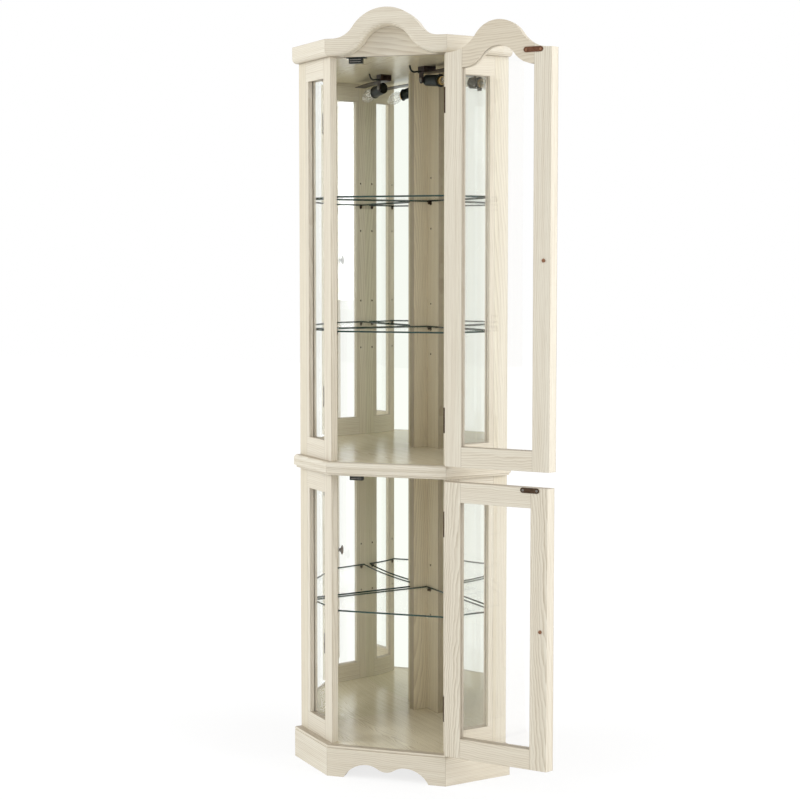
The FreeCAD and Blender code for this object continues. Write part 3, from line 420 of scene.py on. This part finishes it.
def lay_boards(name, boards, figure=0.25, gloss=0.46, pith_off=0.16):
    """Oak on a node.  Each board is (label, direction in plan, grain, test for its triangles'
    centres in its own directions)."""
    mesh = nodes[name].data
    mesh.materials.clear()
    shapes = triangles(name)
    order = sorted(nodes).index(name)
    # small faces deep in a board, the walls of its holes, which get painted shade
    bore_shade_mask = np.zeros(len(shapes), dtype=bool)
    small = 0.5 * np.linalg.norm(normals(shapes), axis=1) < BORE_FACE
    for place, (label, turn, lie, belongs) in enumerate(boards):
        own = turned_back(shapes, turn)
        centres = own.mean(axis=1)
        chosen = belongs(centres)
        corners = own[chosen].reshape(-1, 3)
        box = np.array([corners.min(axis=0), corners.max(axis=0)])
        within = (centres > box[0] + BORE_DEPTH) & (centres < box[1] - BORE_DEPTH)
        bore_shade_mask |= chosen & small & within.all(axis=1)
        seed = SEEDS_PER_NODE * order + place
        material = oak(name + label, turn, lie, box, seed, figure, gloss, pith_off)
        second_finish(name, material, chosen)
    # the walls of the support holes get painted shade
    if name in BORED:
        second_finish(name, BORE_SHADE, bore_shade_mask)


def everywhere(centres):
    return np.ones(len(centres), dtype=bool)


def one_board(name, turn, lie, **look):
    lay_boards(name, [("", turn, lie, everywhere)], **look)


def frame_boards(corner, low, high, turn):
    """Boards of a side frame: stile, narrow inner stile and two rails, told apart by their place
    along the side and up it.  way is -1 on the left, where the side runs the other way."""
    way = math.copysign(1.0, turn)

    def on_stile(centres):
        return centres[:, 0] * way - corner < SIDE_STILE

    def below(centres):
        return centres[:, 2] <= low + SIDE_RAIL

    def above(centres):
        return centres[:, 2] >= high - SIDE_RAIL

    return [
        ("_stile", turn, UPRIGHT, on_stile),
        ("_inner_stile", turn, UPRIGHT, lambda c: ~on_stile(c) & ~below(c) & ~above(c)),
        ("_bottom_rail", turn, RAIL, lambda c: ~on_stile(c) & below(c)),
        ("_top_rail", turn, RAIL, lambda c: ~on_stile(c) & above(c)),
    ]


def pair(turn, lie):
    """Two boards, one on each side of the cabinet: each is tested in its own directions."""
    def right(c):
        return c[:, 0] * math.cos(turn) - c[:, 1] * math.sin(turn) > 0

    def left(c):
        return c[:, 0] * math.cos(turn) + c[:, 1] * math.sin(turn) < 0
    return [("_right", turn, lie, right), ("_left", -turn, lie, left)]


def finish_wood():
    """One oak for each board, its grain along the board."""
    corner_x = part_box("pediment_backer")[1][0]
    corner = corner_x * math.cos(SIDE_TURN) + FRONT_FACE * math.sin(SIDE_TURN)
    for level, opened in DOORS:
        low, high = (end.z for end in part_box(level + "_posts"))
        stiles = FIGURED_STILES if level == "lower" else STRAIGHT_STILES
        for part in ("_hinge_stile", "_latch_stile"):
            one_board(level + part, opened, UPRIGHT, **stiles)
        for part in ("_bottom_rail", "_top_rail"):
            one_board(level + part, opened, RAIL, **DOOR_RAILS)
        for side, turn in (("_right_frame", SIDE_TURN), ("_left_frame", -SIDE_TURN)):
            lay_boards(level + side, frame_boards(corner, low, high, turn))
        lay_boards(level + "_posts", pair(SIDE_TURN, UPRIGHT))
        lay_boards(level + "_back_stiles", pair(-SIDE_TURN, UPRIGHT), **BACK_STILES)
    for name in ("plinth_front", "waist_front", "pediment", "pediment_backer", "header_board"):
        one_board(name, 0.0, RAIL, **FRONTS)
    for stem in ("plinth", "waist", "crown"):
        one_board(stem + "_right", SIDE_TURN, RAIL, **SIDES)
        one_board(stem + "_left", -SIDE_TURN, RAIL, **SIDES)
    for name in ("lower_floor", "lower_top", "upper_floor", "ceiling"):
        one_board(name, -SIDE_TURN, FLAT, **FLOORS)


# ---- other finishes ------------------------------------------------------------------
def hardboard():
    """Pressed brown board with fine speckle, and broad patches where it took up more oil."""
    made, tree, shader = new_material("hardboard", Roughness=0.8)
    speck = noise(tree, object_point(tree), scale=700.0, detail=3.0)
    patch = spread(tree, noise(tree, object_point(tree), scale=7.0, detail=3.0), 0.30, 0.75)
    mottled = blend_colours(tree, speck, BOARD_BROWN, BOARD_FLECK)
    shade = times(tree, patch, 0.45)
    coloured(tree, shader, blend_colours(tree, shade, mottled, BOARD_BROWN))
    bumped(tree, shader, speck, depth=0.0002)
    return made


def clear_glass(name, colour, alpha):
    """Clear glass: mostly see-through, with the gloss of its two faces."""
    return new_material(name, Roughness=0.0, IOR=1.45, Transmission_Weight=1.0,
                        Base_Color=colour, Alpha=alpha)[0]


def shelf_edge():
    """The polished edge of a glass shelf: deep green, a little paler in patches along it."""
    made, tree, shader = new_material("shelf_edge", Roughness=0.12, IOR=1.5)
    patch = spread(tree, noise(tree, object_point(tree), scale=14.0), *PATCHES)
    coloured(tree, shader, blend_colours(tree, patch, EDGE_GREEN, EDGE_PALE))
    return made


def mirror():
    """Silvered glass with a faint green cast and a trace of haze.  The sheets are flat, and
    their sheen turns as on ones that bow into the cabinet like a wide cylinder: height =
    -(distance from middle)^2 / 2R."""
    made, tree, shader = new_material("silvered_glass", Metallic=1.0)
    x, y, _ = add(tree, "SeparateXYZ", {0: object_point(tree)}).outputs
    away = math_node(tree, "SUBTRACT", math_node(tree, "ABSOLUTE", x), y)
    along = times(tree, away, math.sin(SIDE_TURN))
    off = math_node(tree, "SUBTRACT", along, MIRROR_MIDDLE)
    bow = times(tree, times(tree, off, off), -0.5 / MIRROR_BEND)
    bumped(tree, shader, bow, depth=1.0)
    haze = noise(tree, object_point(tree), scale=6.0)
    tree.links.new(times(tree, haze, 0.010), shader.inputs["Roughness"])
    coloured(tree, shader, blend_colours(tree, haze, MIRROR_TINT, MIRROR_HAZE))
    return made


def worn_metal(name, colour, rough, metallic=1.0, shine=0.5):
    """Plated metal or moulding, its colour and gloss uneven at the scale of handling."""
    made, tree, shader = new_material(name, Metallic=metallic, Specular_IOR_Level=shine)
    patch = noise(tree, object_point(tree), WEAR_SCALE, detail=3.0)
    light = tuple(min(1.0, c * WEAR_LIGHTER + WEAR_LIFT) for c in colour[:3]) + (1,)
    coloured(tree, shader, blend_colours(tree, spread(tree, patch, *PATCHES), colour, light))
    tree.links.new(times_plus(tree, patch, WEAR_GLOSS, rough - 0.5 * WEAR_GLOSS),
                   shader.inputs["Roughness"])
    bumped(tree, shader, patch, WEAR_RELIEF)
    return made


def finish_others():
    """Every other node's finish; returns the two metals of the screws."""
    board, glass = hardboard(), clear_glass("clear_pane", PANE_CLEAR, 0.10)
    silvered, edge = mirror(), shelf_edge()
    bronze = worn_metal("dark_bronze", BRONZE, 0.42)
    copper = worn_metal("copper_brown", COPPER, 0.36)
    dull = worn_metal("dull_steel", DULL_STEEL, 0.38)
    plastic = worn_metal("moulded_black", SOCKET_BLACK, 0.34, metallic=0.0, shine=0.22)
    lacquer = worn_metal("brown_lacquer", LAMP_BROWN, 0.36, metallic=0.0, shine=0.30)
    shelves = ["lower_shelf", "middle_shelf", "upper_shelf"]
    groups = {
        board: ["rear_base_boards", "lower_back_boards", "upper_back_boards"],
        glass: ["lower_side_glass", "upper_side_glass", "lower_door_glass",
                "upper_door_glass"] + shelves,
        silvered: ["lower_mirrors", "upper_mirrors"],
        bronze: ["lower_strike", "lower_shelf_pins", "upper_shelf_pins", "hinge_pins",
                 "hinge_jamb_leaves", "upper_hinge_leaves", "lower_hinge_leaves",
                 "upper_knob", "lower_knob"],
        worn_metal("aged_copper", AGED_COPPER, 0.40): ["upper_strike"],
        lacquer: ["lamp_bracket"],
        worn_metal("pressed_brass", BRASS, 0.32): ["bulb_cap"],
        dull: ["lamp_pivot_screw"],
        plastic: ["magnetic_catches", "lamp_socket", "lamp_lead"],
    }
    for material, names in groups.items():
        for name in names:
            finish_node(name, material)
    strips = triangles("magnetic_catches").mean(axis=1)[:, 1] < CATCH_STRIP_BACK
    second_finish("magnetic_catches", dull, strips)
    for name in shelves:
        facing = normals(triangles(name))
        upright = np.abs(facing[:, 2]) < 0.5 * np.linalg.norm(facing, axis=1)
        second_finish(name, edge, upright)
    for level, opened in DOORS:
        screw = shut(triangles(level + "_knob").mean(axis=1), opened)[:, 1] > FRONT_FACE
        second_finish(level + "_knob", copper, screw)
    return copper, dull


# ---- new pieces ----------------------------------------------------------------------
def surface(name, points, material, around=False, caps=False):
    """Mesh over a grid of points, shape (rows, columns, 3), quads between neighbours; around
    joins the last column to the first, and caps closes the first and last rows."""
    rows, columns = points.shape[:2]
    index = np.arange(rows * columns).reshape(rows, columns)
    ends = [index[0, ::-1].tolist(), index[-1].tolist()] if caps else []
    if around:
        index = np.concatenate([index, index[:, :1]], axis=1)
    quads = np.stack([index[:-1, :-1], index[:-1, 1:], index[1:, 1:], index[1:, :-1]], axis=-1)
    mesh = bpy.data.meshes.new(name)
    mesh.from_pydata(points.reshape(-1, 3).tolist(), [], quads.reshape(-1, 4).tolist() + ends)
    mesh.polygons.foreach_set("use_smooth", np.ones(len(mesh.polygons), dtype=bool))
    mesh.materials.append(material)
    made = bpy.data.objects.new(name, mesh)
    bpy.context.scene.collection.objects.link(made)
    return made


def round_angles(count):
    return np.linspace(0.0, math.tau, count, endpoint=False)


def in_lamp(points, tilt=LAMP_TILT):
    """Points given along, across and above the lamp's axis, put in the cabinet's frame."""
    turn = np.array(Euler((0.0, tilt, 0.0)).to_matrix())
    heading = np.array(Euler((0.0, 0.0, LAMP_HEADING)).to_matrix())
    return points @ (heading @ turn).T + np.array(LAMP_PIVOT)


def turned_form(along, radius, around=40):
    """Grid of a turned form: radius as a function of distance, carried round the axis."""
    angle = round_angles(around)
    grid = np.empty((len(along), around, 3))
    grid[..., 0] = along[:, None]
    grid[..., 1] = radius[:, None] * np.cos(angle)
    grid[..., 2] = radius[:, None] * np.sin(angle)
    return in_lamp(grid)


def wire_form(path, thickness, around=8):
    """Grid of a thin wire: a circle carried along the path, square to its direction."""
    tangent = np.gradient(path, axis=0)
    tangent /= np.linalg.norm(tangent, axis=1, keepdims=True)
    side = np.cross(tangent, np.array(SIDEWAYS))
    side /= np.linalg.norm(side, axis=1, keepdims=True)
    other = np.cross(tangent, side)
    angle = round_angles(around)
    ring = np.cos(angle)[:, None] * side[:, None] + np.sin(angle)[:, None] * other[:, None]
    return in_lamp(path[:, None] + thickness * ring)


def bulb_radius(t):
    """Radius of the bulb at a share of its length: it rises as a quarter sine to the widest
    place and then falls to the tip."""
    power, root = BULB_FALL
    rise = np.clip(t / BULB_WIDEST, 0.0, 1.0)
    fall = np.clip((t - BULB_WIDEST) / (1.0 - BULB_WIDEST), 0.0, 1.0)
    radius = BULB_NECK + (BULB_RADIUS - BULB_NECK) * np.sin(0.5 * math.pi * rise)
    radius = np.where(t > BULB_WIDEST, BULB_RADIUS * (1.0 - fall ** power) ** root, radius)
    return np.maximum(radius, BULB_TIP)


def make_bulb():
    """Candle bulb: a clear blown shell, its glass stem, two support wires and the filament."""
    t = np.linspace(0.0, 1.0, 48)
    blown = clear_glass("blown_glass", BULB_CLEAR, 0.24)
    shell = surface("bulb_shell", turned_form(BULB_START + BULB_LENGTH * t, bulb_radius(t)),
                    blown, True, True)
    wall = shell.modifiers.new("wall", "SOLIDIFY")
    wall.thickness = GLASS_WALL
    wall.offset = -1.0
    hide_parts("lamp_bulb")

    t = np.linspace(0.0, 1.0, 14)
    lost, power = STEM_TAPER
    radius = STEM_RADIUS * (1.0 - lost * t ** power)
    stem = surface("bulb_stem", turned_form(BULB_START + STEM_LENGTH * t, radius, 20),
                   blown, True, True)
    wire = worn_metal("support_wire", WIRE_STEEL, 0.3)
    inside = [shell, stem]
    for word, side in (("left", -1.0), ("right", 1.0)):
        t = np.linspace(0.0, 1.0, 16)
        path = np.stack([BULB_START + WIRE_START + WIRE_LENGTH * t,
                         side * WIRE_REACH * t ** WIRE_CURVE, 0 * t], axis=1)
        inside.append(surface("bulb_wire_" + word, wire_form(path, WIRE_THICKNESS),
                              wire, True, True))
    t = np.linspace(0.0, 1.0, 220)
    turns = math.tau * COIL_TURNS * t
    arch = FILAMENT_ARCH * np.sin(math.pi * t)
    path = np.stack([BULB_START + FILAMENT_START + arch + COIL_RADIUS * np.cos(turns),
                     -WIRE_REACH + 2.0 * WIRE_REACH * t, COIL_RADIUS * np.sin(turns)], axis=1)
    tungsten = worn_metal("tungsten", TUNGSTEN, 0.4)
    inside.append(surface("bulb_filament", wire_form(path, FILAMENT_THICKNESS, 6),
                          tungsten, True, True))
    for piece in inside:
        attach(piece, "lamp_head")


def screw_head(radius, dome):
    """Grid of a domed screw head about the origin, its axis along Z: a quarter-ellipse dome less
    a cross recess, whose depth falls off smoothly outside two crossed slots."""
    share = np.concatenate([[1.0, 1.0], np.linspace(0.98, 0.03, 22)])
    angle = round_angles(48)
    r = radius * share[:, None] * np.ones_like(angle)
    x, y = r * np.cos(angle), r * np.sin(angle)

    def within(distance, reach, softness):
        return 1.0 / (1.0 + np.exp((np.abs(distance) - reach * radius) / (softness * radius)))

    def in_slot(a, b):
        return within(a, SLOT_HALF, SLOT_SIDE) * within(b, SLOT_REACH, SLOT_END)

    cross = np.maximum(in_slot(x, y), in_slot(y, x))
    bowl = dome * np.sqrt(np.clip(1.0 - share[:, None] ** 2, 0.0, 1.0))
    z = bowl - SLOT_DEPTH * dome * cross
    z[0] = -SCREW_FOOT
    return np.stack([x, y, z], axis=-1)


def make_screw_heads(copper, dull):
    """Domed heads with a cross recess over the plain ends of the model's screws."""
    across_door = np.array([[-1.0, 0.0, 0.0], [0.0, 0.0, 1.0], [0.0, 1.0, 0.0]])
    for level, opened in DOORS:
        strike = shut(triangles(level + "_strike").reshape(-1, 3), opened)
        height = 0.5 * (strike[:, 2].min() + strike[:, 2].max())
        knob = shut(triangles(level + "_knob").reshape(-1, 3), opened)
        head = knob[knob[:, 1] > DOOR_FACE + 0.5 * KNOB_SCREW_FACE]
        middle = 0.5 * (head.min(axis=0) + head.max(axis=0))
        metal = copper if level == "upper" else dull
        spots = [("_strike_screw_%d" % (n + 1), (x, DOOR_FACE + STRIKE_FACE, height),
                  STRIKE_SCREW_RADIUS, STRIKE_SCREW_DOME, metal)
                 for n, x in enumerate(STRIKE_SCREWS)]
        spots.append(("_knob_screw", (middle[0], DOOR_FACE + KNOB_SCREW_FACE, middle[2]),
                      KNOB_SCREW_RADIUS, KNOB_SCREW_DOME, copper))
        for word, place, radius, dome, material in spots:
            points = opened_up(screw_head(radius, dome) @ across_door + np.array(place), opened)
            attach(surface(level + word, points, material, True, True), level + "_door")
    across_lug = np.array([[1.0, 0.0, 0.0], [0.0, 0.0, 1.0], [0.0, -1.0, 0.0]])
    points = screw_head(PIVOT_HEAD_RADIUS, PIVOT_HEAD_DOME) @ across_lug + np.array(PIVOT_HEAD)
    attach(surface("pivot_screw_head", in_lamp(points, 0.0), dull, True, True), "cabinet")


# ---- studio --------------------------------------------------------------------------
CAMERA_AT = (1.0646, -3.977, 1.2354)
CAMERA_YAW = math.radians(16.046)
CAMERA_PITCH = math.radians(3.754)
CAMERA_LENS = 72.26
CAMERA_SENSOR = 36.0
CAMERA_SHIFT = -0.045
LEVEL = math.radians(90.0)            # turn about X at which a camera looks level
LIGHTS = (                            # name, place, where it aims, colour
    ("key", (-4.4, -2.3, 3.0), (0, -0.3, 0.95), (0.96, 1.0, 1.03)),
    ("fill", (4.2, -0.9, 2.2), (0, -0.3, 0.9), (0.97, 1.0, 1.05)))
LIGHT_POWER, LIGHT_SIZE = 118.0, 2.6
WORLD_LIGHT, WORLD_SEEN = 0.68, 0.32  # strength as light, and what is added where it is seen
FLOOR_HALF = 14.0
FLOOR_GLOW = 1.05
FLOOR_FADE = (0.5, 1.3)               # how far from the back corner it turns white
FLOOR_NEAR, FLOOR_MORE = 0.75, 0.25   # share of the glow near it, and what is added away


def seen_directly(tree):
    """1 for rays from the camera, or from gloss and glass; 0 for light."""
    path = add(tree, "LightPath")
    total = math_node(tree, "MAXIMUM", path.outputs["Is Camera Ray"],
                      path.outputs["Is Glossy Ray"])
    return math_node(tree, "MAXIMUM", total, path.outputs["Is Transmission Ray"])


def make_floor():
    """Pale floor that keeps the cabinet's shadow near it and turns white away from it."""
    mesh = bpy.data.meshes.new("floor")
    corners = [(x * FLOOR_HALF, y * FLOOR_HALF, 0) for x, y in ((-1, -1), (1, -1), (1, 1), (-1, 1))]
    mesh.from_pydata(corners, [], [(0, 1, 2, 3)])
    floor = bpy.data.objects.new("floor", mesh)
    bpy.context.scene.collection.objects.link(floor)
    material, tree, shader = new_material("pale_floor", Roughness=0.9, Base_Color=FLOOR_PALE)
    bright = add(tree, "Emission", {"Color": STUDIO_WHITE, "Strength": FLOOR_GLOW})
    away = add(tree, "VectorMath", {0: object_point(tree)}, operation="LENGTH").outputs["Value"]
    share = times_plus(tree, spread(tree, away, *FLOOR_FADE), FLOOR_MORE, FLOOR_NEAR)
    factor = times(tree, seen_directly(tree), share)
    mixed = add(tree, "MixShader", {0: factor, 1: shader.outputs[0], 2: bright.outputs[0]})
    tree.links.new(mixed.outputs[0], tree.nodes["Material Output"].inputs["Surface"])
    mesh.materials.append(material)


def make_studio():
    """Camera, white world and two broad lights."""
    scene = bpy.context.scene
    data = bpy.data.cameras.new("camera")
    data.lens, data.sensor_width, data.shift_y = CAMERA_LENS, CAMERA_SENSOR, CAMERA_SHIFT
    camera = bpy.data.objects.new("camera", data)
    camera.location = CAMERA_AT
    camera.rotation_euler = (LEVEL - CAMERA_PITCH, 0.0, CAMERA_YAW)
    scene.collection.objects.link(camera)
    scene.camera = camera

    world = bpy.data.worlds.new("studio")
    scene.world = world
    world.use_nodes = True
    tree = world.node_tree
    strength = times_plus(tree, seen_directly(tree), WORLD_SEEN, WORLD_LIGHT)
    tree.nodes["Background"].inputs["Color"].default_value = STUDIO_WHITE
    tree.links.new(strength, tree.nodes["Background"].inputs["Strength"])

    for name, place, aim, colour in LIGHTS:
        lamp = bpy.data.lights.new(name, "AREA")
        lamp.size, lamp.energy, lamp.color = LIGHT_SIZE, LIGHT_POWER, colour
        holder = bpy.data.objects.new(name, lamp)
        holder.location = place
        holder.rotation_euler = (Vector(aim) - Vector(place)).to_track_quat("-Z", "Y").to_euler()
        holder.visible_glossy = False
        scene.collection.objects.link(holder)
    scene.view_settings.view_transform = "Standard"


make_studio()
make_floor()
finish_wood()
make_screw_heads(*finish_others())
make_bulb()
